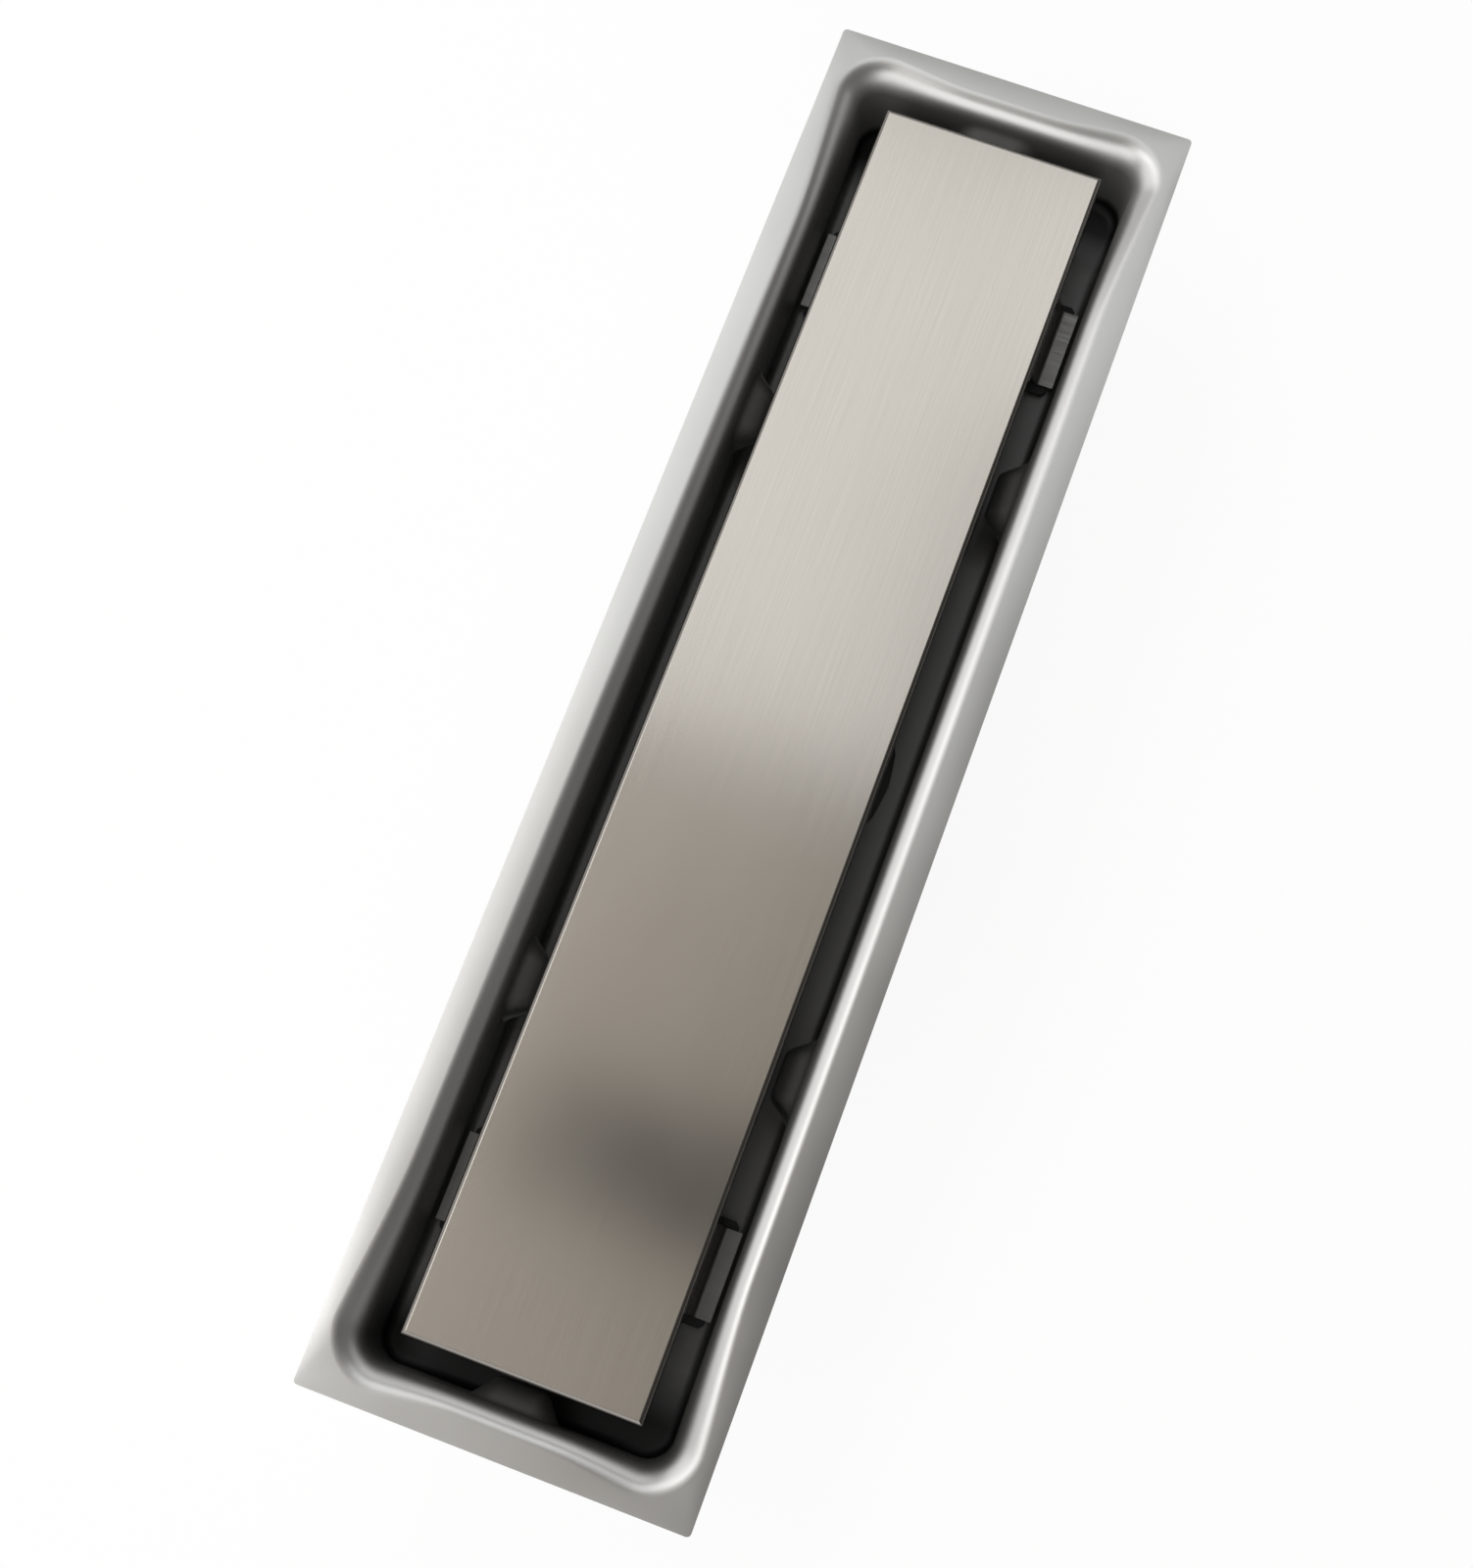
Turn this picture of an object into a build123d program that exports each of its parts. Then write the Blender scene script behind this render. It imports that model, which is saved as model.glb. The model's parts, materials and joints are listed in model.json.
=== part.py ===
# Linear shower drain: a pressed stainless tray with a wide flange, a plain folded cover on two
# foot bridges, and a lift-out bell trap in a welded sump over the outlet pipe.
# Millimetres. +Z is up, +Y runs along the drain, and the origin is the middle of the plane on
# which the flange is bedded, so the flange's own top face is one sheet thickness above it.
import math
import os

from build123d import *

# Flange and tray
flange_length = 500.0
flange_width = 130.0
flange_rim = 15.0
flange_corner_radius = 1.5
tray_sheet = 1.0
tray_depth = 35.0
tray_corner_radius = 9.0
wall_draft = 0.8
lip_radius = 7.0
floor_radius = 3.0

# The walls lean out towards the corners, more at the lip than at the floor
side_flare = 2.5
side_flare_run = 65.0
end_flare = 1.2
end_flare_run = 24.0
floor_flare = 0.4

# Dimples pressed into the tray walls, which keep the cover in the middle
dimple_length = 30.0
dimple_wall_margin = 3.0
dimple_flank_angle = 38.0
dimple_tip_radius = 3.0
dimple_blend_radius = 2.5
dimple_inset = 128.0
dimple_clearance = 1.0

# Cover, folded from one sheet
water_gap = 10.0
cover_sheet = 1.2
cover_skirt_height = 12.0
cover_bend_radius = 1.6
cover_slit_width = 0.8
cover_slit_reach = 4.8

# Foot bridges under the cover, and the rubber pads that they stand on
bridge_inset = 52.0
bridge_width = 30.0
bridge_sheet = 1.2
bridge_bend_radius = 1.5
bridge_leg_inset = 5.0
bridge_splay = 7.4
foot_clearance = 1.6
pad_thickness = 2.0
pad_overhang = 3.0
pad_inner_overhang = 4.0
pad_corner_bevel = 1.5
pad_floor_clearance = 0.3

# Seat for the strainer, pressed into the tray's floor
seat_margin = 4.2
seat_depth = 2.5

# Sump, outlet pipe and bell trap
seat_ledge = 5.0
sump_wall = 1.0
sump_depth = 34.0
trap_ring = 12.0
pipe_wall = 1.5
pipe_drop = 30.0
pipe_bevel = 0.4
weir_wall = 1.2
weir_height = 20.0
weir_insertion = 6.0
bell_wall = 1.0
bell_rim_gap = 7.0
bell_bevel = 4.0
strainer_thickness = 1.0
strainer_clearance = 0.5
strainer_slot_width = 3.0
strainer_slot_land = 2.5
strainer_slot_margin = 0.6
knob_diameter = 16.0
knob_neck_diameter = 9.0
knob_height = 12.0
knob_head_height = 6.0
knob_bevel = 1.5
screw_diameter = 5.0
screw_clearance = 0.1
screw_grip = 6.0
screw_head_diameter = 9.0
screw_head_height = 3.0
screw_head_bevel = 1.0

# Levels, worked out from the sizes above
flange_top = tray_sheet
floor_top = flange_top - tray_depth
seat_top = floor_top - seat_depth
seat_underside = seat_top - tray_sheet
sump_floor = seat_underside - sump_depth
sump_underside = sump_floor - sump_wall
pipe_end = sump_underside - pipe_drop
strainer_top = seat_top + strainer_thickness
bell_top = seat_top
bell_rim = sump_floor + bell_rim_gap
cover_top = flange_top
cover_underside = cover_top - cover_sheet
pad_top = floor_top + pad_thickness

# Sizes that follow from the flange and the gap that lets the water in
tray_length = flange_length - 2 * flange_rim
tray_width = flange_width - 2 * flange_rim
cover_length = tray_length - 2 * water_gap
cover_width = tray_width - 2 * water_gap
bridge_place = cover_length / 2 - bridge_inset
bridge_half = cover_width / 2 - cover_sheet - bridge_leg_inset
bridge_foot = bridge_half + bridge_splay
dimple_place = tray_length / 2 - dimple_inset
dimple_height = tray_depth - lip_radius - floor_radius - 2 * dimple_wall_margin
dimple_depth = (tray_depth + lip_radius - floor_radius) / 2
seat_radius = tray_width / 2 - wall_draft - floor_radius - seat_margin
sump_radius = seat_radius - seat_ledge
pipe_diameter = 2 * (sump_radius - trap_ring)
weir_radius = pipe_diameter / 2 - pipe_wall
bell_radius = (weir_radius + sump_radius + bell_wall) / 2

# Edges and points closer than this count as being in one place
touch = 0.01


def draft_at(level):
    return wall_draft * (flange_top - level) / tray_depth


def flare_at(level, flare):
    return floor_flare + (flare - floor_flare) * (level - floor_top) / tray_depth


def flange_prism(low, high):
    outline = RectangleRounded(flange_width, flange_length, flange_corner_radius)
    return Pos(0, 0, low) * extrude(outline, high - low)


def disc(radius, low, high):
    return Pos(0, 0, low) * extrude(Circle(radius), high - low)


def edges_at(shape, level):
    return shape.edges().filter_by(
        lambda edge: abs(edge.bounding_box().min.Z - level) < touch
        and abs(edge.bounding_box().max.Z - level) < touch
    )


# The outline of the tray's hollow at a level: straight sides that curve out towards the corners
def hollow_outline(level, skin):
    side = tray_width / 2 + skin - draft_at(level)
    end = tray_length / 2 + skin - draft_at(level)
    side_run = tray_length / 2 - side_flare_run
    end_run = tray_width / 2 - end_flare_run
    corner_x = side + flare_at(level, side_flare)
    corner_y = end + flare_at(level, end_flare)
    lines = []
    for way_x, way_y in ((1, 1), (-1, 1), (-1, -1), (1, -1)):
        corner = (way_x * corner_x, way_y * corner_y)
        lines.append(TangentArc((way_x * side, way_y * side_run), corner, tangent=(0, way_y)))
        lines.append(TangentArc((way_x * end_run, way_y * end), corner, tangent=(way_x, 0)))
    for way in (-1, 1):
        lines.append(Line((way * side, -side_run), (way * side, side_run)))
        lines.append(Line((-end_run, way * end), (end_run, way * end)))
    face = make_face(lines)
    corners = [point for point in face.vertices() if abs(point.X) > side and abs(point.Y) > end]
    return Pos(0, 0, level) * fillet(corners, tray_corner_radius + skin)


# One side of the pressed sheet: the space above it when skin is 0, and the same space grown by
# the sheet's thickness for its underside.
def pressed_space(skin):
    top = flange_top - skin
    floor = floor_top - skin
    tub = loft([hollow_outline(floor, skin), hollow_outline(flange_top, skin)], ruled=True)
    tub = fillet(edges_at(tub, floor), floor_radius + skin)
    space = flange_prism(top, flange_top + lip_radius) + tub
    lip = [edge for edge in edges_at(space, top) if is_inside_flange(edge)]
    space = fillet(lip, lip_radius - skin)
    space = space + disc(seat_radius + skin, seat_top - skin, floor)
    for punch in dimple_punches(skin):
        space = press(space, punch, skin)
    return space


# Push a punch into the space. The face inside the tray is blended into its wall, and the hollow
# back that nobody sees keeps plain edges.
def press(space, punch, skin):
    pressed = space - punch
    if skin > 0:
        return pressed
    rim = new_edges(space, punch, combined=pressed)
    return fillet(rim, dimple_blend_radius)


def is_inside_flange(edge):
    box = edge.bounding_box()
    reach = max(abs(box.min.X), abs(box.max.X)) < flange_width / 2 - touch
    return reach and max(abs(box.min.Y), abs(box.max.Y)) < flange_length / 2 - touch


# A pressed dimple, as the form of its punch, standing on the XY plane with its tip at the top
def dimple_punch(skin, height):
    flank = math.radians(dimple_flank_angle)
    shrink = height * math.tan(flank) + skin * (1 - math.sin(flank)) / math.cos(flank)
    tip = SlotOverall(dimple_length - 2 * shrink, dimple_height - 2 * shrink)
    run_out = 2 * tray_sheet + wall_draft
    punch = extrude(tip, -(height + run_out), taper=-dimple_flank_angle)
    if skin > 0:
        return punch
    tip_edges = punch.edges().group_by(Axis.Z)[-1]
    return fillet(tip_edges, dimple_tip_radius)


def dimple_punches(skin):
    level = flange_top - dimple_depth
    height = water_gap - draft_at(level) - dimple_clearance
    punch = dimple_punch(skin, height)
    side = cover_width / 2 + dimple_clearance + skin
    end = cover_length / 2 + dimple_clearance + skin
    for along in (-dimple_place, dimple_place):
        for way in (-1, 1):
            plane = Plane((way * side, along, level), x_dir=(0, 1, 0), z_dir=(-way, 0, 0))
            yield plane * punch
    for way in (-1, 1):
        plane = Plane((0, way * end, level), x_dir=(1, 0, 0), z_dir=(0, -way, 0))
        yield plane * punch


def channel_tray():
    blank = flange_prism(seat_underside, flange_top)
    sheet = (blank & pressed_space(tray_sheet)) - pressed_space(0)
    return sheet - disc(sump_radius, seat_underside, floor_top)


def cover_panel():
    low = cover_top - cover_skirt_height
    outside = Pos(0, 0, low) * extrude(Rectangle(cover_width, cover_length), cover_skirt_height)
    outside = fillet(edges_at(outside, cover_top), cover_bend_radius)
    inside_width = cover_width - 2 * cover_sheet
    inside_length = cover_length - 2 * cover_sheet
    inside = Pos(0, 0, low) * extrude(Rectangle(inside_width, inside_length), cover_skirt_height - cover_sheet)
    inside = fillet(edges_at(inside, cover_underside), cover_bend_radius - cover_sheet)
    panel = outside - inside
    slit_top = cover_top - cover_bend_radius
    slit = Pos(0, 0, low) * extrude(Rectangle(cover_slit_reach, cover_slit_width), slit_top - low)
    mitre = 45.0
    for across in (-1, 1):
        for along in (-1, 1):
            corner = Pos(across * cover_width / 2, along * cover_length / 2, 0)
            panel = panel - corner * Rot(0, 0, across * along * mitre) * slit
    return panel


# A bent strip: flat under the cover, legs that splay outwards, and feet turned out along the floor
def support_bridge(along):
    top = cover_underside - bridge_sheet / 2
    low = pad_top + bridge_sheet / 2
    toe = tray_width / 2 - draft_at(pad_top) - foot_clearance
    centre_line = FilletPolyline(
        (-toe, 0, low),
        (-bridge_foot, 0, low),
        (-bridge_half, 0, top),
        (bridge_half, 0, top),
        (bridge_foot, 0, low),
        (toe, 0, low),
        radius=bridge_bend_radius + bridge_sheet / 2,
    )
    section = Plane(centre_line @ 0, x_dir=(0, 1, 0), z_dir=(1, 0, 0)) * Rectangle(bridge_width, bridge_sheet)
    return Pos(0, along, 0) * sweep(section, path=centre_line)


def foot_pad(across, along):
    inner = bridge_foot - bridge_sheet / 2 - pad_inner_overhang
    outer = tray_width / 2 - draft_at(floor_top) - floor_radius - pad_floor_clearance
    outline = Rectangle(outer - inner, bridge_width + 2 * pad_overhang)
    outline = chamfer(outline.vertices(), pad_corner_bevel)
    middle = across * (inner + outer) / 2
    return Pos(middle, along, floor_top) * extrude(outline, pad_thickness)


# The sump is a tube with a turned-out brim, closed by a plate that carries the outlet
def trap_sump():
    tube = disc(sump_radius + sump_wall, sump_floor, seat_underside)
    brim = disc(seat_radius + tray_sheet, seat_underside - sump_wall, seat_underside)
    return tube + brim - disc(sump_radius, sump_floor, seat_underside)


def sump_base():
    plate = disc(sump_radius + sump_wall, sump_underside, sump_floor)
    return plate - disc(weir_radius, sump_underside, sump_floor)


def outlet_pipe():
    tube = disc(pipe_diameter / 2, pipe_end, sump_underside)
    tube = tube - disc(pipe_diameter / 2 - pipe_wall, pipe_end, sump_underside)
    return chamfer(edges_at(tube, pipe_end), pipe_bevel)


# The upstand that holds the trap's water back, pushed through the sump into the outlet pipe
def weir_tube():
    low = sump_underside - weir_insertion
    high = sump_floor + weir_height
    return disc(weir_radius, low, high) - disc(weir_radius - weir_wall, low, high)


def screw_hole(low, high):
    return disc(screw_diameter / 2 + screw_clearance, low, high)


def strainer_plate():
    plate = disc(seat_radius - strainer_clearance, seat_top, strainer_top)
    ring = (bell_radius + sump_radius) / 2
    length = sump_radius - bell_radius - 2 * strainer_slot_margin
    count = int(2 * math.pi * ring / (strainer_slot_width + strainer_slot_land))
    slot = Pos(0, 0, seat_top) * extrude(Rectangle(length, strainer_slot_width), strainer_thickness)
    slots = [place * slot for place in PolarLocations(ring, count)]
    return plate - slots - screw_hole(seat_top, strainer_top)


def trap_bell():
    bell = disc(bell_radius, bell_rim, bell_top)
    bell = chamfer(edges_at(bell, bell_top), bell_bevel)
    hollow = disc(bell_radius - bell_wall, bell_rim, bell_top - bell_wall)
    hollow = chamfer(edges_at(hollow, bell_top - bell_wall), bell_bevel)
    return bell - hollow - screw_hole(bell_top - bell_wall, bell_top)


def lift_knob():
    top = strainer_top + knob_height
    cap = top - knob_head_height
    head = disc(knob_diameter / 2, cap, top)
    head = chamfer(head.edges().filter_by(GeomType.CIRCLE), knob_bevel)
    knob = head + disc(knob_neck_diameter / 2, strainer_top, cap)
    return knob - disc(screw_diameter / 2, strainer_top, strainer_top + screw_grip)


def bell_screw():
    seat = bell_top - bell_wall
    head = disc(screw_head_diameter / 2, seat - screw_head_height, seat)
    head = chamfer(edges_at(head, seat - screw_head_height), screw_head_bevel)
    return head + disc(screw_diameter / 2, seat, strainer_top + screw_grip)


def drain():
    nodes = {
        "channel_tray": channel_tray(),
        "trap_sump": trap_sump(),
        "sump_base": sump_base(),
        "outlet_pipe": outlet_pipe(),
        "weir_tube": weir_tube(),
        "strainer_plate": strainer_plate(),
        "trap_bell": trap_bell(),
        "lift_knob": lift_knob(),
        "bell_screw": bell_screw(),
        "cover_panel": cover_panel(),
    }
    for end, along in (("far", bridge_place), ("near", -bridge_place)):
        nodes[f"{end}_support_bridge"] = support_bridge(along)
        for side, across in (("left", -1), ("right", 1)):
            nodes[f"{end}_{side}_foot_pad"] = foot_pad(across, along)
    return nodes


os.makedirs("parts", exist_ok=True)
for name, shape in drain().items():
    export_step(shape, f"parts/{name}.step")
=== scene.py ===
import json
import math
import bpy
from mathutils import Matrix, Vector


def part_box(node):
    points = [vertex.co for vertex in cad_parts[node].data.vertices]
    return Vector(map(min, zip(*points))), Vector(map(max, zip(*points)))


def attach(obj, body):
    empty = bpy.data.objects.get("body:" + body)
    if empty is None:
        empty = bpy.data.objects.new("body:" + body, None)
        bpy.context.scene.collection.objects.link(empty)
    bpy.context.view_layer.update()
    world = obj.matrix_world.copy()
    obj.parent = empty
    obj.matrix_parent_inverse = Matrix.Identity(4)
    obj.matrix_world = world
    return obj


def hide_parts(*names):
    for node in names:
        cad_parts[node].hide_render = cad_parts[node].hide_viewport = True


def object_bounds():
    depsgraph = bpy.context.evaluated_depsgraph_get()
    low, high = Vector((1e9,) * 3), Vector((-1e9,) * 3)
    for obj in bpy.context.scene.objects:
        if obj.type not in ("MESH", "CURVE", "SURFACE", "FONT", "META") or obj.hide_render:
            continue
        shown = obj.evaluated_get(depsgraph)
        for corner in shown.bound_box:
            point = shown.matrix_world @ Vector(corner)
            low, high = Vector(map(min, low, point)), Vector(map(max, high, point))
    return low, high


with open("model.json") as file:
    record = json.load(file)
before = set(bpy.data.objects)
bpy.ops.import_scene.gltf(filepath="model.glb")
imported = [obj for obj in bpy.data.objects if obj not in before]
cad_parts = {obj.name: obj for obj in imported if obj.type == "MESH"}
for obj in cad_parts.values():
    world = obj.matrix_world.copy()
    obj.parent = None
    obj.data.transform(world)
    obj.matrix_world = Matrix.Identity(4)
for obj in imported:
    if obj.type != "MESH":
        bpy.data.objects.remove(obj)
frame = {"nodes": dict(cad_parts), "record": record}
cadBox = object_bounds()
nodes = frame["nodes"]
mm = 0.001
print("frame loaded with", len(nodes), "nodes")


# helpers for node trees and meshes

def feed(tree, socket, term):
    if isinstance(term, bpy.types.NodeSocket):
        tree.links.new(term, socket)
    else:
        socket.default_value = term


def addNode(tree, kind, settings=None, **terms):
    made = tree.nodes.new(kind)
    for key, value in (settings or {}).items():
        setattr(made, key, value)
    for key, term in terms.items():
        feed(tree, made.inputs[key.replace("_", " ")], term)
    return made


def mathNode(tree, operation, *terms):
    made = tree.nodes.new("ShaderNodeMath")
    made.operation = operation
    for place, term in enumerate(terms):
        feed(tree, made.inputs[place], term)
    return made.outputs[0]


def vectorNode(tree, operation, *terms):
    made = tree.nodes.new("ShaderNodeVectorMath")
    made.operation = operation
    for place, term in enumerate(terms):
        scaling = operation == "SCALE" and place == 1
        feed(tree, made.inputs["Scale" if scaling else place], term)
    single = operation in ("LENGTH", "DOT_PRODUCT")
    return made.outputs["Value" if single else "Vector"]


def newTree(name, inputs):
    tree = bpy.data.node_groups.new(name, "GeometryNodeTree")
    tree.interface.new_socket("Geometry", in_out="INPUT", socket_type="NodeSocketGeometry")
    tree.interface.new_socket("Geometry", in_out="OUTPUT", socket_type="NodeSocketGeometry")
    for title, value in inputs.items():
        kind = "NodeSocketInt" if isinstance(value, int) else "NodeSocketFloat"
        tree.interface.new_socket(title, in_out="INPUT", socket_type=kind)
    return tree, tree.nodes.new("NodeGroupInput").outputs


def closeTree(tree, geometry, material):
    real = addNode(tree, "GeometryNodeRealizeInstances", Geometry=geometry)
    paint = addNode(tree, "GeometryNodeSetMaterial", Geometry=real.outputs[0], Material=material)
    done = tree.nodes.new("NodeGroupOutput")
    tree.links.new(paint.outputs[0], done.inputs[0])


def growFrom(obj, tree, inputs):
    grown = obj.modifiers.new(tree.name, "NODES")
    grown.node_group = tree
    for socket in tree.interface.items_tree:
        if socket.in_out == "INPUT" and socket.name in inputs:
            grown[socket.identifier] = inputs[socket.name]


def newObject(name, mesh):
    obj = bpy.data.objects.new(name, mesh)
    bpy.context.scene.collection.objects.link(obj)
    return obj


def plainMesh(obj, sharpAngle):
    bpy.context.view_layer.update()
    graph = bpy.context.evaluated_depsgraph_get()
    mesh = bpy.data.meshes.new_from_object(obj.evaluated_get(graph), depsgraph=graph)
    obj.modifiers.clear()
    obj.data = mesh
    mesh.shade_smooth()
    mesh.set_sharp_from_angle(angle=math.radians(sharpAngle))


# materials, all on object coordinates and normals

def newMaterial(name):
    material = bpy.data.materials.new(name)
    material.use_nodes = True
    tree = material.node_tree
    shader = tree.nodes["Principled BSDF"]
    place = tree.nodes.new("ShaderNodeTexCoord").outputs["Object"]
    return material, tree, shader, place


def grain(tree, place, stretch, detail=3.0):
    turned = addNode(tree, "ShaderNodeMapping", Vector=place, Scale=stretch)
    noise = addNode(tree, "ShaderNodeTexNoise", Vector=turned.outputs[0], Scale=1.0, Detail=detail)
    return noise.outputs["Fac"]


def spread(tree, value, low, high, fromLow=0.3, fromHigh=0.7):
    made = addNode(tree, "ShaderNodeMapRange", Value=value, From_Min=fromLow, From_Max=fromHigh,
                   To_Min=low, To_Max=high)
    return made.outputs["Result"]


# a Mix node has its two colours at inputs 6 and 7 and the mixed one at output 2
def tint(tree, value, dark, light):
    made = addNode(tree, "ShaderNodeMix", {"data_type": "RGBA"})
    feed(tree, made.inputs["Factor"], value)
    feed(tree, made.inputs[6], dark)
    feed(tree, made.inputs[7], light)
    return made.outputs[2]


def rough(tree, shader, height, strength, distance, under=None):
    made = addNode(tree, "ShaderNodeBump", Strength=strength, Distance=distance, Height=height)
    if under:
        tree.links.new(under, made.inputs["Normal"])
    tree.links.new(made.outputs[0], shader.inputs["Normal"])
    return made.outputs[0]


coverFinish = {
    "light": (0.66, 0.615, 0.56, 1.0),
    "dark": (0.58, 0.54, 0.49, 1.0),
    # painted shade: below its top face the cover is darkened to this colour down its bends and skirts
    "skirtShade": (0.22, 0.207, 0.193, 1.0),
    "skirtFrom": 1.0005 * mm,
    "skirtTo": 0.97 * mm,
    "roughness": (0.17, 0.205),
    "anisotropy": 0.5,
    "grainPerMetre": (1800.0, 22.0, 1800.0),   # long fine scratches down the cover
    "grainStrength": 0.12,
    "grainDepth": 0.02 * mm,
    "cloudsPerMetre": (14.0, 9.0, 14.0),
}


def coverSteel():
    material, tree, shader, place = newMaterial("coverSteel")
    lines = grain(tree, place, coverFinish["grainPerMetre"])
    clouds = grain(tree, place, coverFinish["cloudsPerMetre"])
    level = addNode(tree, "ShaderNodeSeparateXYZ", Vector=place).outputs["Z"]
    # painted shade on the cover's bends and skirts, from just under the top face downwards
    fold = spread(tree, level, 0.0, 1.0, coverFinish["skirtFrom"], coverFinish["skirtTo"])
    brushed = tint(tree, lines, coverFinish["dark"], coverFinish["light"])
    feed(tree, shader.inputs["Base Color"], tint(tree, fold, brushed, coverFinish["skirtShade"]))
    feed(tree, shader.inputs["Roughness"], spread(tree, clouds, *coverFinish["roughness"]))
    shader.inputs["Metallic"].default_value = 1.0
    shader.inputs["Anisotropic"].default_value = coverFinish["anisotropy"]
    across = addNode(tree, "ShaderNodeCombineXYZ", X=1.0, Y=0.0, Z=0.0)
    tree.links.new(across.outputs[0], shader.inputs["Tangent"])
    rough(tree, shader, lines, coverFinish["grainStrength"], coverFinish["grainDepth"])
    return material


trayFinish = {
    "light": (0.68, 0.675, 0.66, 1.0),
    "roughness": (0.28, 0.36),
    "lipRoughness": 0.42,
    "lipFrom": 0.6 * mm,
    "lipTo": -1.0 * mm,
    # painted shade: inside the tray the walls darken to this colour going down from the lip
    "wall": (0.34, 0.335, 0.33, 1.0),
    "wallFrom": -1.0 * mm,
    "wallTo": -8.0 * mm,
    "wallRoughness": (0.48, 0.76),   # rubbed duller at the far end
    "dullFrom": 190.0 * mm,
    "dullTo": 220.0 * mm,
    # painted shade: the inside floor is darker still
    "floor": (0.25, 0.246, 0.246, 1.0),
    "floorFrom": -27.0 * mm,
    "floorTo": -31.0 * mm,
    "floorRoughness": 0.55,
    "floorEndShade": (0.045, 0.045, 0.045, 1.0),   # painted shade: the floor is darker towards both ends
    "endShadeFrom": 205.0 * mm,
    "endShadeTo": 223.0 * mm,
    "floorWeight": 50.0 * mm,   # how much an upward face counts against an inward one
    "sideBlend": 4.0 * mm,
    "cloudsPerMetre": (11.0, 11.0, 11.0),
    "grainPerMetre": (500.0, 40.0, 500.0),
    "grainStrength": 0.10,
    "grainDepth": 0.02 * mm,
    "wavePerMetre": (22.0, 16.0, 22.0),   # the pressed sheet is never quite flat
    "waveDetail": 1.0,
    "waveStrength": 0.35,
    "waveDepth": 0.6 * mm,
}


# 1 on faces that look up or towards the middle of the tray, 0 on its outside
def insideShare(tree, place):
    normal = tree.nodes.new("ShaderNodeTexCoord").outputs["Normal"]
    level = vectorNode(tree, "MULTIPLY", place, (1.0, 1.0, 0.0))
    outward = vectorNode(tree, "DOT_PRODUCT", level, normal)
    upward = addNode(tree, "ShaderNodeSeparateXYZ", Vector=normal).outputs["Z"]
    raised = mathNode(tree, "MULTIPLY", upward, trayFinish["floorWeight"])
    inward = mathNode(tree, "SUBTRACT", raised, outward)
    return spread(tree, inward, 0.0, 1.0, -trayFinish["sideBlend"], trayFinish["sideBlend"])


# painted shade inside the tray: the walls darken going down from the lip, the floor is darker still, and
# darker again towards both ends
def trayTint(tree, spot, depth, bottom):
    along = mathNode(tree, "ABSOLUTE", spot["Y"])
    endShade = spread(tree, along, 0.0, 1.0, trayFinish["endShadeFrom"], trayFinish["endShadeTo"])
    walled = tint(tree, depth, trayFinish["light"], trayFinish["wall"])
    ground = tint(tree, endShade, trayFinish["floor"], trayFinish["floorEndShade"])
    return tint(tree, bottom, walled, ground)


def trayRoughness(tree, place, spot, rolled, depth, bottom):
    clouds = grain(tree, place, trayFinish["cloudsPerMetre"])
    satin = spread(tree, clouds, *trayFinish["roughness"])
    lip = spread(tree, rolled, satin, trayFinish["lipRoughness"], 0.0, 1.0)
    dullRun = trayFinish["dullFrom"], trayFinish["dullTo"]
    rubbed = spread(tree, spot["Y"], *trayFinish["wallRoughness"], *dullRun)
    dull = spread(tree, depth, lip, rubbed, 0.0, 1.0)
    return spread(tree, bottom, dull, trayFinish["floorRoughness"], 0.0, 1.0)


def traySteel():
    material, tree, shader, place = newMaterial("traySteel")
    spot = addNode(tree, "ShaderNodeSeparateXYZ", Vector=place).outputs
    inside = insideShare(tree, place)

    def downTo(start, end):
        share = spread(tree, spot["Z"], 0.0, 1.0, trayFinish[start], trayFinish[end])
        return mathNode(tree, "MULTIPLY", share, inside)

    rolled = downTo("lipFrom", "lipTo")
    depth = downTo("wallFrom", "wallTo")
    bottom = downTo("floorFrom", "floorTo")
    feed(tree, shader.inputs["Base Color"], trayTint(tree, spot, depth, bottom))
    feed(tree, shader.inputs["Roughness"], trayRoughness(tree, place, spot, rolled, depth, bottom))
    shader.inputs["Metallic"].default_value = 1.0
    waves = grain(tree, place, trayFinish["wavePerMetre"], trayFinish["waveDetail"])
    wavy = rough(tree, shader, waves, trayFinish["waveStrength"], trayFinish["waveDepth"])
    lines = grain(tree, place, trayFinish["grainPerMetre"])
    rough(tree, shader, lines, trayFinish["grainStrength"], trayFinish["grainDepth"], wavy)
    return material


# painted shade: the bridge steel is darkened to stand for the shade under the cover where the feet sit
bridgeFinish = {
    "light": (0.36, 0.355, 0.345, 1.0),
    "dark": (0.26, 0.255, 0.25, 1.0),
    "roughness": (0.36, 0.5),
    "grainPerMetre": (40.0, 900.0, 40.0),
}
trapFinish = {
    "light": (0.64, 0.63, 0.61, 1.0),
    "dark": (0.54, 0.53, 0.52, 1.0),
    "roughness": (0.24, 0.38),
    "grainPerMetre": (60.0, 60.0, 900.0),
}
# painted shade: the strainer plate and lift knob are darkened to stand for the shade down in the sump
strainerFinish = {
    "light": (0.09, 0.088, 0.085, 1.0),
    "dark": (0.06, 0.058, 0.056, 1.0),
    "roughness": (0.5, 0.65),
    "grainPerMetre": (60.0, 60.0, 900.0),
}
weldFinish = {
    "light": (0.52, 0.48, 0.42, 1.0),
    "dark": (0.34, 0.31, 0.30, 1.0),
    "roughness": (0.3, 0.45),
    "grainPerMetre": (300.0, 300.0, 300.0),
}
# shared by these four
plainGrain = {"cloudsPerMetre": (60.0, 60.0, 60.0), "strength": 0.12, "depth": 0.02 * mm}


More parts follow.
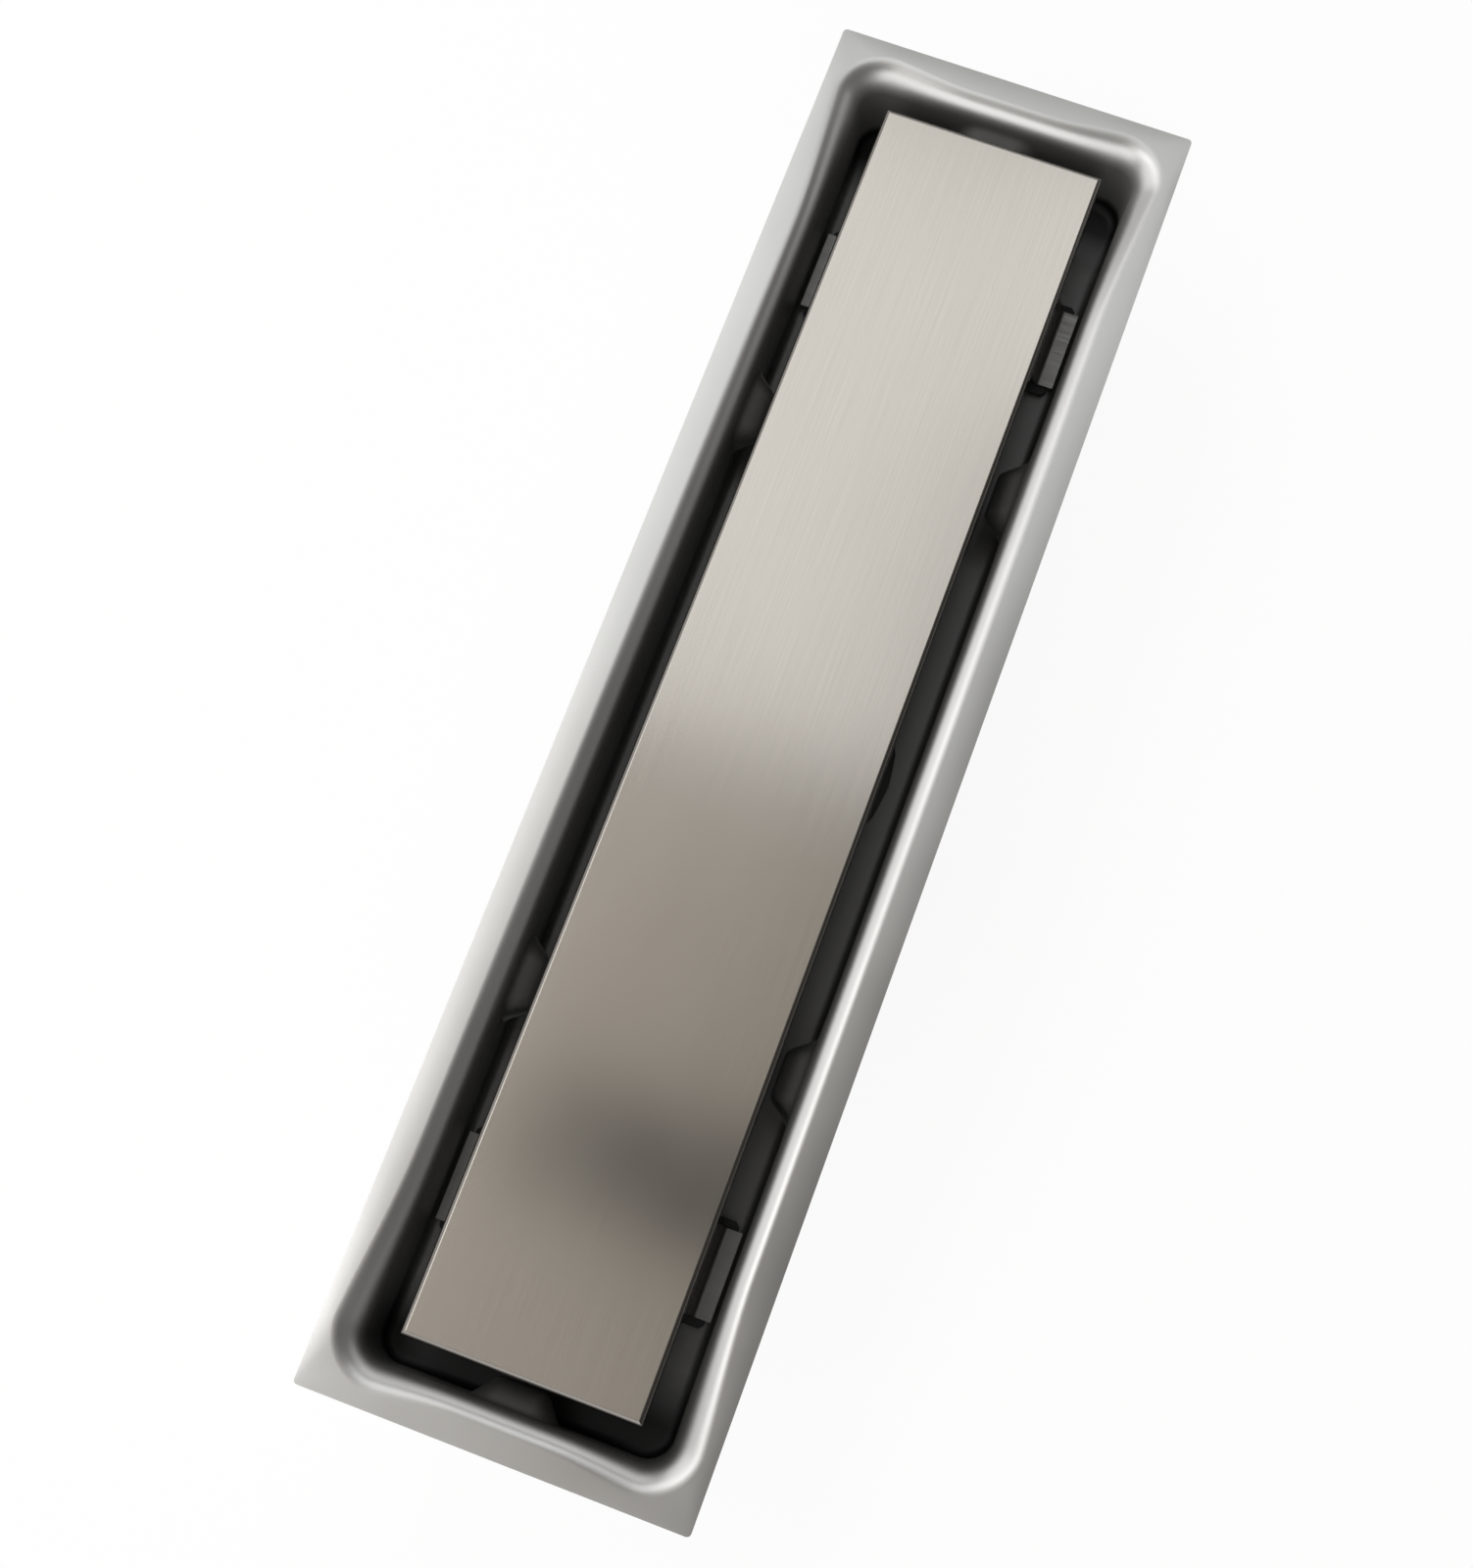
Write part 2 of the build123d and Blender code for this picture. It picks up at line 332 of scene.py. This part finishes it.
def plainSteel(name, finish):
    material, tree, shader, place = newMaterial(name)
    lines = grain(tree, place, finish["grainPerMetre"])
    clouds = grain(tree, place, plainGrain["cloudsPerMetre"])
    feed(tree, shader.inputs["Base Color"], tint(tree, clouds, finish["dark"], finish["light"]))
    feed(tree, shader.inputs["Roughness"], spread(tree, lines, *finish["roughness"]))
    shader.inputs["Metallic"].default_value = 1.0
    rough(tree, shader, lines, plainGrain["strength"], plainGrain["depth"])
    return material


rubberFinish = {
    "light": (0.035, 0.034, 0.034, 1.0),
    "dark": (0.018, 0.018, 0.018, 1.0),
    "roughness": (0.62, 0.8),
    "specksPerMetre": (1400.0, 1400.0, 1400.0),
    "speckStrength": 0.3,
    "speckDepth": 0.04 * mm,
}


def padRubber():
    material, tree, shader, place = newMaterial("padRubber")
    specks = grain(tree, place, rubberFinish["specksPerMetre"])
    feed(tree, shader.inputs["Base Color"], tint(tree, specks, rubberFinish["dark"], rubberFinish["light"]))
    feed(tree, shader.inputs["Roughness"], spread(tree, specks, *rubberFinish["roughness"]))
    rough(tree, shader, specks, rubberFinish["speckStrength"], rubberFinish["speckDepth"])
    return material


trayPaint = traySteel()
strainerPaint = plainSteel("strainerSteel", strainerFinish)
weldPaint = plainSteel("weldSteel", weldFinish)
paints = {
    "cover_steel": coverSteel(),
    "tray_steel": trayPaint,
    "bridge_steel": plainSteel("bridgeSteel", bridgeFinish),
    "trap_steel": plainSteel("trapSteel", trapFinish),
    "pad_rubber": padRubber(),
}
for subpart in frame["record"]["subparts"]:
    mesh = nodes[subpart["node"]].data
    mesh.materials.clear()
    mesh.materials.append(paints[subpart["material_slot"]])
# painted shade: the dark steel on the strainer plate and lift knob
for title in ("strainer_plate", "lift_knob"):
    nodes[title].data.materials[0] = strainerPaint
print("materials made:", ", ".join(sorted(paints)))


# the pressed tray, as rings of points round its outline from the flange's edge in to the strainer's hole

tray = {
    "rim": 15.0 * mm,
    "edgeRadius": 1.5 * mm,
    "edgeSag": 0.4 * mm,   # the flange leans a little down and out from the lip
    "sheet": 1.0 * mm,
    "depth": 35.0 * mm,
    "cornerRadius": 9.0 * mm,
    "draft": 0.8 * mm,
    "lipRadius": 7.0 * mm,
    "cornerLip": 2.2 * mm,   # the lip rolls wider towards the corners
    "floorRadius": 3.0 * mm,
    "sideFlare": 2.5 * mm,
    "sideFlareRun": 65.0 * mm,
    "endFlare": 1.2 * mm,
    "endFlareRun": 24.0 * mm,
    "floorFlare": 0.4 * mm,
    "seatRadius": 42.0 * mm,
    "seatDepth": 2.5 * mm,
    "holeRadius": 37.0 * mm,
    "dimpleInset": 128.0 * mm,
    "dimpleReach": 15.0 * mm,
    "clear": 1.0,   # metres along the wall, where no dimple reaches
    "edgeReach": 45.0 * mm,   # well past the flange's edge
    "creaseStrip": 0.4 * mm,   # a narrow ring that keeps a crease tight
    "sharpAngle": 40.0,
}
# points along each stretch of a quarter of the outline, and down each bend of the sheet
outlineSteps = {
    "middle": 7,
    "dimple": 36,
    "straight": 6,
    "sideFlare": 14,
    "corner": 18,
    "endFlare": 8,
    "end": 3,
    "halfDimple": 18,
}
columnSteps = {"lip": 14, "wall": 30, "fold": 8}
dimple = {
    "Length": 30.0 * mm,
    "Height": 19.0 * mm,
    "Flank": 6.68 * mm,
    "Depth": 8.55 * mm,
    "Tip Round": 3.0 * mm,
    "Blend": 2.6 * mm,
}
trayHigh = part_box("channel_tray")[1]
flangeTop = trayHigh.z
floorTop = flangeTop - tray["depth"]
halfWidth = trayHigh.x - tray["rim"]
halfLength = trayHigh.y - tray["rim"]
dimplePlace = halfLength - tray["dimpleInset"]
dimpleLevel = flangeTop - (tray["depth"] + tray["lipRadius"] - tray["floorRadius"]) / 2


def steps(start, end, count):
    return [start + (end - start) * step / count for step in range(count)]


def meetCircles(first, firstRadius, second, secondRadius, near):
    gap = second - first
    along = (firstRadius ** 2 - secondRadius ** 2 + gap.length_squared) / (2 * gap.length)
    aside = math.sqrt(firstRadius ** 2 - along ** 2)
    foot = first + gap.normalized() * along
    turn = Vector((-gap.y, gap.x)).normalized() * aside
    return min((foot + turn, foot - turn), key=lambda point: (point - near).length)


# how far a point has come into a corner, from 0 on the straight to 1 in the bend
def cornerShare(travel, run):
    share = max(0.0, min(1.0, travel / run))
    return share * share * (3 - 2 * share)


# a quarter of the outline, drop 0 at the flange and 1 at the floor:
# (point, outward direction, run along the wall from a dimple, share of the corner)
def quarterOutline(drop):
    side = halfWidth - tray["draft"] * drop
    end = halfLength - tray["draft"] * drop
    sideFlare = tray["sideFlare"] + (tray["floorFlare"] - tray["sideFlare"]) * drop
    endFlare = tray["endFlare"] + (tray["floorFlare"] - tray["endFlare"]) * drop
    sideRun = halfLength - tray["sideFlareRun"]
    endRun = halfWidth - tray["endFlareRun"]
    corner = Vector((side + sideFlare, end + endFlare))
    sideRadius = (sideFlare ** 2 + (corner.y - sideRun) ** 2) / (2 * sideFlare)
    endRadius = (endFlare ** 2 + (corner.x - endRun) ** 2) / (2 * endFlare)
    sideCentre = Vector((side + sideRadius, sideRun))
    endCentre = Vector((endRun, end + endRadius))
    radius = tray["cornerRadius"]
    middle = meetCircles(sideCentre, sideRadius + radius, endCentre, endRadius + radius, corner)
    first = (sideCentre - middle).normalized()
    last = (endCentre - middle).normalized()
    clear = tray["clear"]
    reach = tray["dimpleReach"]
    sideRuns = [
        (0.0, dimplePlace - reach, outlineSteps["middle"]),
        (dimplePlace - reach, dimplePlace + reach, outlineSteps["dimple"]),
        (dimplePlace + reach, sideRun, outlineSteps["straight"]),
    ]
    endRuns = [(endRun, reach, outlineSteps["end"]), (reach, 0.0, outlineSteps["halfDimple"])]
    points = []
    for run in sideRuns:
        for along in steps(*run):
            points.append((Vector((side, along)), Vector((1, 0)), along - dimplePlace, 0.0))
    for along in steps(sideRun, middle.y + first.y * radius, outlineSteps["sideFlare"]):
        across = sideCentre.x - math.sqrt(sideRadius ** 2 - (along - sideRun) ** 2)
        point = Vector((across, along))
        share = cornerShare(along - sideRun, middle.y - sideRun)
        points.append((point, (sideCentre - point).normalized(), clear, share))
    firstAngle = math.atan2(first.y, first.x)
    lastAngle = math.atan2(last.y, last.x)
    for angle in steps(firstAngle, lastAngle, outlineSteps["corner"]):
        way = Vector((math.cos(angle), math.sin(angle)))
        points.append((middle + way * radius, way, clear, 1.0))
    for across in steps(middle.x + last.x * radius, endRun, outlineSteps["endFlare"]):
        along = endCentre.y - math.sqrt(endRadius ** 2 - (across - endRun) ** 2)
        point = Vector((across, along))
        share = cornerShare(across - reach, middle.x - reach)
        points.append((point, (endCentre - point).normalized(), clear, share))
    for run in endRuns:
        for across in steps(*run):
            share = cornerShare(across - reach, middle.x - reach)
            points.append((Vector((across, end)), Vector((0, 1)), across, share))
    points.append((Vector((0, end)), Vector((0, 1)), 0.0, 0.0))
    return points


def flipped(points, wayX, wayY):
    def flip(pair):
        return Vector((pair.x * wayX, pair.y * wayY))
    return [(flip(point), flip(way), run, share) for point, way, run, share in points]


def wholeOutline(drop):
    quarter = quarterOutline(drop)
    back = quarter[::-1]
    right = quarter[:-1]
    left = flipped(back, -1, 1)[:-1]
    under = flipped(quarter, -1, -1)[:-1]
    return right + left + under + flipped(back, 1, -1)[:-1]


def flangeEdge(point, way):
    out = point + way * tray["edgeReach"]
    limitX = trayHigh.x - tray["edgeRadius"]
    limitY = trayHigh.y - tray["edgeRadius"]
    inner = Vector((max(-limitX, min(limitX, out.x)), max(-limitY, min(limitY, out.y))))
    return inner + (out - inner).normalized() * tray["edgeRadius"]


# one column of the sheet from the lip down to the floor: how far out of the outline, at what level,
# and whether the dimples reach it
def trayColumn(share):
    lip = tray["lipRadius"] + tray["cornerLip"] * share
    fold = tray["floorRadius"]
    column = []
    for angle in steps(0.0, math.pi / 2, columnSteps["lip"]):
        column.append((lip * (1 - math.sin(angle)), flangeTop - lip * (1 - math.cos(angle)), False))
    for level in steps(flangeTop - lip, floorTop + fold, columnSteps["wall"]):
        column.append((0.0, level, True))
    for angle in steps(0.0, math.pi / 2, columnSteps["fold"]):
        column.append((-fold * (1 - math.cos(angle)), floorTop + fold * (1 - math.sin(angle)), False))
    column.append((-fold, floorTop, False))
    column.append((-fold - tray["creaseStrip"], floorTop, False))
    return column


def trayMesh():
    points = []
    runs = []
    rises = []
    inwards = []
    top = wholeOutline(0.0)
    foot = [row[0] for row in wholeOutline(1.0)]
    columns = len(top)

    def addRing(ring):
        for place, run, rise, inward in ring:
            points.append(place)
            runs.append(run)
            rises.append(rise)
            inwards.append(inward)

    still = (tray["clear"], tray["clear"], Vector((0, 0, 0)))
    edgeLevel = Vector((0, 0, flangeTop - tray["edgeSag"]))
    addRing([(flangeEdge(point, way).to_3d() + edgeLevel, *still) for point, way, run, share in top])
    stacks = []
    for (high, way, run, share), low in zip(top, foot):
        stack = []
        for out, level, dimpled in trayColumn(share):
            spot = high.lerp(low, (flangeTop - level) / tray["depth"]) + way * out
            place = Vector((spot.x, spot.y, level))
            reached = run if dimpled else tray["clear"]
            stack.append((place, reached, level - dimpleLevel, -way.to_3d()))
        stacks.append(stack)
    for ring in zip(*stacks):
        addRing(ring)
    lastRing = points[-columns:]
    angles = [math.atan2(place.y, place.x) for place in lastRing]
    seat = floorTop - tray["seatDepth"]
    circles = [
        (tray["seatRadius"] + tray["creaseStrip"], floorTop),
        (tray["seatRadius"], floorTop),
        (tray["seatRadius"], seat),
        (tray["holeRadius"], seat),
    ]
    for radius, level in circles:
        addRing([(Vector((radius * math.cos(a), radius * math.sin(a), level)), *still) for a in angles])
    faces = []
    for ring in range(len(points) // columns - 1):
        for column in range(columns):
            nextColumn = (column + 1) % columns
            outer = ring * columns
            inner = outer + columns
            faces.append((outer + column, outer + nextColumn, inner + nextColumn, inner + column))
    mesh = bpy.data.meshes.new("pressedTray")
    mesh.from_pydata(points, [], faces)
    mesh.attributes.new("wallRun", "FLOAT", "POINT").data.foreach_set("value", runs)
    mesh.attributes.new("wallRise", "FLOAT", "POINT").data.foreach_set("value", rises)
    flat = [part for inward in inwards for part in inward]
    mesh.attributes.new("wallInward", "FLOAT_VECTOR", "POINT").data.foreach_set("vector", flat)
    return mesh


# the dimples are one rule for all six: a slot's distance turned into a smooth push off the wall
def dimpleTree():
    tree, given = newTree("pressDimples", dimple)

    def named(title, kind):
        made = addNode(tree, "GeometryNodeInputNamedAttribute", {"data_type": kind})
        made.inputs["Name"].default_value = title
        return made.outputs["Attribute"]

    core = mathNode(tree, "MULTIPLY", mathNode(tree, "SUBTRACT", given["Length"], given["Height"]), 0.5)
    run = mathNode(tree, "ABSOLUTE", named("wallRun", "FLOAT"))
    over = mathNode(tree, "MAXIMUM", mathNode(tree, "SUBTRACT", run, core), 0.0)
    pair = addNode(tree, "ShaderNodeCombineXYZ", X=over, Y=named("wallRise", "FLOAT"))
    reach = vectorNode(tree, "LENGTH", pair.outputs[0])
    room = mathNode(tree, "SUBTRACT", mathNode(tree, "MULTIPLY", given["Height"], 0.5), reach)
    slope = mathNode(tree, "DIVIDE", given["Depth"], given["Flank"])
    ramp = mathNode(tree, "MULTIPLY", room, slope)
    tipped = mathNode(tree, "SMOOTH_MIN", ramp, given["Depth"], given["Tip Round"])
    push = mathNode(tree, "SMOOTH_MAX", tipped, 0.0, given["Blend"])
    offset = vectorNode(tree, "SCALE", named("wallInward", "FLOAT_VECTOR"), push)
    pressed = addNode(tree, "GeometryNodeSetPosition", Geometry=given["Geometry"], Offset=offset)
    closeTree(tree, pressed.outputs[0], trayPaint)
    return tree


pressedTray = newObject("pressedTray", trayMesh())
growFrom(pressedTray, dimpleTree(), dimple)
thick = pressedTray.modifiers.new("sheet", "SOLIDIFY")
thick.thickness = tray["sheet"]
thick.offset = -1.0
thick.use_even_offset = True
thick.use_quality_normals = True
plainMesh(pressedTray, tray["sharpAngle"])
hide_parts("channel_tray")
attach(pressedTray, "root")
print("tray pressed:", len(pressedTray.data.polygons), "faces")


# weld beads round the sump: a ring with the ripple that a torch leaves

beads = {
    "brim": 0.7 * mm,
    "base": 0.6 * mm,
    "pipe": 0.9 * mm,
    "pipeStep": 0.3 * mm,   # the bead lies this far out of the pipe's upper edge, and below it
    "swellShare": 0.35,
    "ripplePitch": 1.1 * mm,
    "pointsPerRipple": 6.0,
    "pointsRound": 8,
    "sharpAngle": 50.0,
}


def weldTree(name, weld):
    tree, given = newTree(name, weld)
    fine = mathNode(tree, "MULTIPLY", given["Ripples"], beads["pointsPerRipple"])
    circle = "GeometryNodeCurvePrimitiveCircle"
    ring = addNode(tree, circle, Resolution=fine, Radius=given["Radius"])
    section = addNode(tree, circle, Resolution=beads["pointsRound"], Radius=given["Bead"])
    bead = addNode(tree, "GeometryNodeCurveToMesh", Curve=ring.outputs[0])
    tree.links.new(section.outputs[0], bead.inputs["Profile Curve"])
    place = tree.nodes.new("GeometryNodeInputPosition").outputs[0]
    spot = addNode(tree, "ShaderNodeSeparateXYZ", Vector=place)
    turn = mathNode(tree, "ARCTAN2", spot.outputs["Y"], spot.outputs["X"])
    count = mathNode(tree, "DIVIDE", mathNode(tree, "MULTIPLY", turn, given["Ripples"]), math.tau)
    ripple = mathNode(tree, "FRACT", count)
    swell = mathNode(tree, "MULTIPLY", mathNode(tree, "SUBTRACT", ripple, 0.5), given["Swell"])
    out = vectorNode(tree, "SCALE", tree.nodes.new("GeometryNodeInputNormal").outputs[0], swell)
    level = addNode(tree, "ShaderNodeCombineXYZ", Z=given["Level"])
    offset = vectorNode(tree, "ADD", out, level.outputs[0])
    placed = addNode(tree, "GeometryNodeSetPosition", Geometry=bead.outputs[0], Offset=offset)
    closeTree(tree, placed.outputs[0], weldPaint)
    return tree


def weldRing(name, radius, level, bead):
    weld = {
        "Radius": radius,
        "Level": level,
        "Bead": bead,
        "Swell": beads["swellShare"] * bead,
        "Ripples": round(math.tau * radius / beads["ripplePitch"]),
    }
    obj = newObject(name, bpy.data.meshes.new(name))
    growFrom(obj, weldTree(name, weld), weld)
    plainMesh(obj, beads["sharpAngle"])
    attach(obj, "root")
    return len(obj.data.polygons)


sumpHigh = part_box("trap_sump")[1]
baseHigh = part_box("sump_base")[1]
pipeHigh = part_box("outlet_pipe")[1]
pipeStep = beads["pipeStep"]
weldFaces = [
    weldRing("brimWeld", sumpHigh.x, sumpHigh.z, beads["brim"]),
    weldRing("baseWeld", baseHigh.x, baseHigh.z, beads["base"]),
    weldRing("pipeWeld", pipeHigh.x + pipeStep, pipeHigh.z - pipeStep, beads["pipe"]),
]
print("welds laid:", sum(weldFaces), "faces")


# floor, lights and camera

studio = {
    "floorSize": 40.0,
    "floorWhite": 0.95,
    "floorGlow": 1.04,
    "shadowShare": 0.14,
    "worldColor": (0.13, 0.126, 0.121, 1.0),
}
# soft boxes: middle, point they face, size, brightness of the face, colour
cool = (0.97, 0.99, 1.0)
white = (1.0, 1.0, 1.0)
warm = (1.0, 0.94, 0.84)
softBoxes = {
    "farBox": ((-0.41, 1.0, 2.0), (-0.41, 1.0, 0.0), (0.92, 1.00), 0.93, cool),
    "farRightBox": ((0.26, 1.40, 2.0), (0.26, 1.40, 0.0), (0.46, 0.70), 1.05, cool),
    "farLowBox": ((-0.2, 2.2, 1.05), (0.0, 0.0, 0.0), (2.0, 1.2), 0.8, white),
    "leftBox": ((-0.83, 0.45, 2.0), (-0.83, 0.45, 0.0), (0.46, 2.3), 2.1, white),
    "leftOuterBox": ((-1.46, 0.45, 2.0), (-1.46, 0.45, 0.0), (0.80, 2.3), 1.25, white),
    "leftLowBox": ((-2.07, 0.5, 1.01), (0.0, 0.1, 0.0), (2.2, 1.7), 1.0, white),
    "backBox": ((-0.3, -1.98, 1.50), (0.0, 0.0, 0.0), (3.2, 2.4), 1.35, white),
    "rightLowBox": ((1.64, -1.64, 0.66), (0.0, 0.0, 0.0), (1.7, 1.0), 0.6, white),
    "rightFarLowBox": ((1.40, 1.85, 0.66), (0.0, 0.0, 0.0), (1.6, 1.0), 0.45, white),
    "topBox": ((-0.23, -0.22, 2.2), (-0.23, -0.22, 0.0), (0.68, 1.44), 0.29, warm),
}
# a dark board, seen only in the metal: a corner, the two sides from it and its cloth
nearBoard = {
    "corner": (-0.14, -0.125, 0.95),
    "across": (0.52, 0.0, 0.0),
    "along": (0.0, 0.09, 0.0),
    "cloth": (0.01, 0.01, 0.01, 1.0),
}


def buildFloor():
    low = cadBox[0].z
    half = studio["floorSize"] / 2
    corners = [(-half, -half, low), (half, -half, low), (half, half, low), (-half, half, low)]
    mesh = bpy.data.meshes.new("floor")
    mesh.from_pydata(corners, [], [(0, 1, 2, 3)])
    floor = newObject("floor", mesh)
    material = bpy.data.materials.new("paleFloor")
    material.use_nodes = True
    tree = material.node_tree
    tree.nodes.clear()
    pale = studio["floorWhite"]
    matt = addNode(tree, "ShaderNodeBsdfDiffuse", Color=(pale, pale, pale, 1.0))
    glow = addNode(tree, "ShaderNodeEmission", Color=(*white, 1.0), Strength=studio["floorGlow"])
    path = tree.nodes.new("ShaderNodeLightPath").outputs
    seen = mathNode(tree, "MAXIMUM", path["Is Camera Ray"], path["Is Glossy Ray"])
    seen = mathNode(tree, "MAXIMUM", seen, path["Is Transmission Ray"])
    share = mathNode(tree, "MULTIPLY", seen, 1.0 - studio["shadowShare"])
    mixed = tree.nodes.new("ShaderNodeMixShader")
    feed(tree, mixed.inputs[0], share)
    feed(tree, mixed.inputs[1], matt.outputs[0])
    feed(tree, mixed.inputs[2], glow.outputs[0])
    done = tree.nodes.new("ShaderNodeOutputMaterial")
    tree.links.new(mixed.outputs[0], done.inputs["Surface"])
    mesh.materials.append(material)


def buildLights():
    world = bpy.data.worlds.new("studio")
    world.use_nodes = True
    world.node_tree.nodes["Background"].inputs["Color"].default_value = studio["worldColor"]
    bpy.context.scene.world = world
    for title, (middle, target, size, glow, color) in softBoxes.items():
        lamp = bpy.data.lights.new(title, "AREA")
        lamp.shape = "RECTANGLE"
        lamp.size, lamp.size_y = size
        lamp.energy = glow * math.pi * size[0] * size[1]
        lamp.color = color
        obj = newObject(title, lamp)
        obj.location = middle
        obj.rotation_euler = (Vector(target) - Vector(middle)).to_track_quat("-Z", "Y").to_euler()
        obj.visible_camera = False


def buildBoard():
    material = bpy.data.materials.new("boardCloth")
    material.use_nodes = True
    cloth = material.node_tree.nodes["Principled BSDF"]
    cloth.inputs["Base Color"].default_value = nearBoard["cloth"]
    cloth.inputs["Roughness"].default_value = 1.0
    corner, across, along = (Vector(nearBoard[part]) for part in ("corner", "across", "along"))
    corners = [corner, corner + across, corner + across + along, corner + along]
    mesh = bpy.data.meshes.new("nearBoard")
    mesh.from_pydata(corners, [], [(0, 1, 2, 3)])
    mesh.materials.append(material)
    board = newObject("nearBoard", mesh)
    board.visible_camera = False
    board.visible_diffuse = False
    board.visible_shadow = False


view = {
    "from": (0.0694, -0.2054, 0.7324),
    "at": (-0.0037, -0.0253, 0.001),
    "roll": -1.72,
    "lens": 53.25,
    "sensor": 36.0,
}


def buildCamera():
    lens = bpy.data.cameras.new("camera")
    lens.lens = view["lens"]
    lens.sensor_width = view["sensor"]
    camera = newObject("camera", lens)
    camera.location = view["from"]
    look = (Vector(view["at"]) - Vector(view["from"])).to_track_quat("-Z", "Y")
    camera.rotation_euler = look.to_euler()
    camera.rotation_euler.rotate_axis("Z", math.radians(view["roll"]))
    bpy.context.scene.camera = camera


buildFloor()
buildLights()
buildBoard()
buildCamera()
bpy.context.scene.view_settings.view_transform = "Standard"
print("stage ready")
